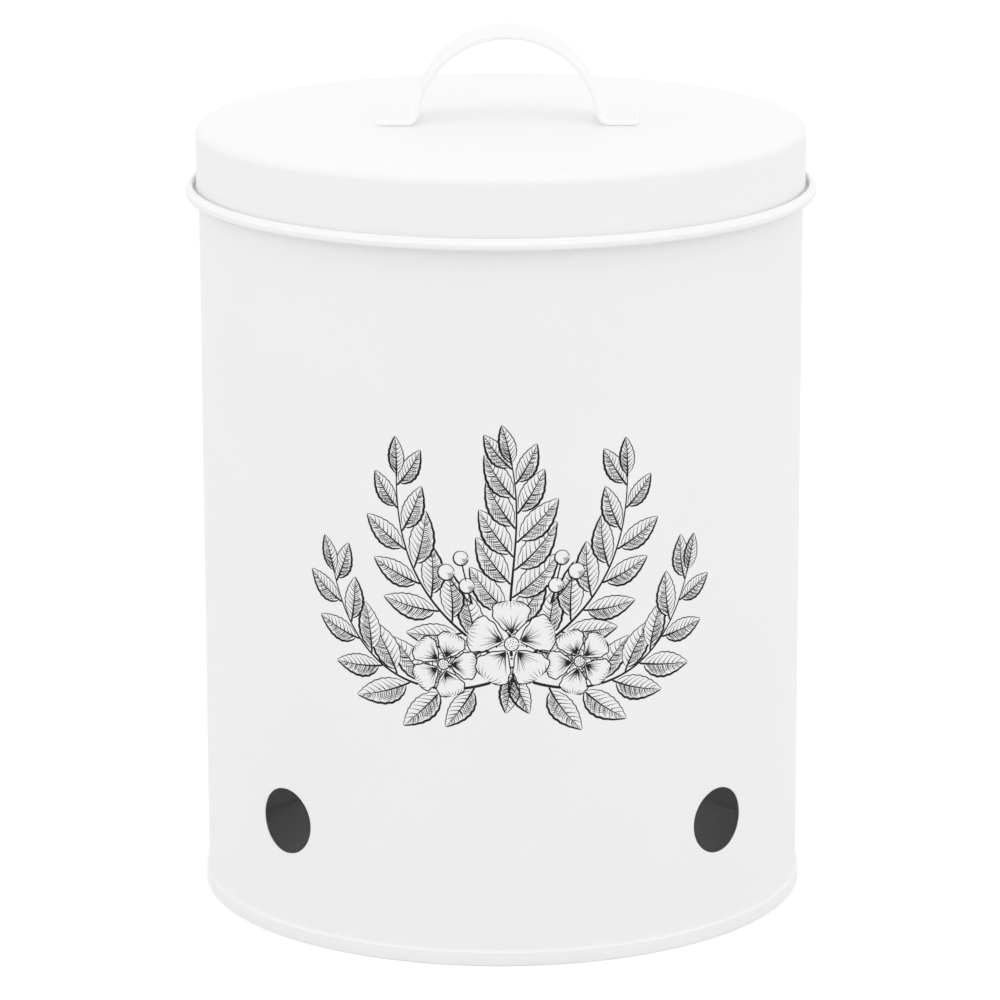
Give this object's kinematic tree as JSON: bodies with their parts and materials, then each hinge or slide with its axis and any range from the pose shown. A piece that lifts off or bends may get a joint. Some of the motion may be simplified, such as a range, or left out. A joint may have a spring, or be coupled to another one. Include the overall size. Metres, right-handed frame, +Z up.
{
  "type": "potato storage bin",
  "caption": "Round coated steel storage bin with a rolled rim, round vents near the foot, and a lift-off lid with a bent strap handle.",
  "frame": {"origin": "on the table, on the axis of the wall, under the foot band", "axes": "+Z up along the axis of the wall; -Y is the printed front; +X is to the right, seen from the front; the handle's arch spans X"},
  "size_m": [0.2194, 0.2194, 0.3045],
  "materials": {
    "wall_coat": "satin white powder coat",
    "base_coat": "satin white powder coat",
    "lid_coat": "satin white powder coat",
    "handle_coat": "satin white powder coat",
    "print_ink": "matt black print under the coat's clear layer"
  },
  "bodies": {
    "bin": {"body_wall": "wall_coat", "base_disc": "base_coat"},
    "lid": {"lid_shell": "lid_coat", "lid_handle": "handle_coat"}
  },
  "joints": [
    {"name": "lid_lift", "type": "slide", "parent": "bin", "child": "lid", "axis": [0, 0, 1], "range_m": [0, 0.15]}
  ]
}
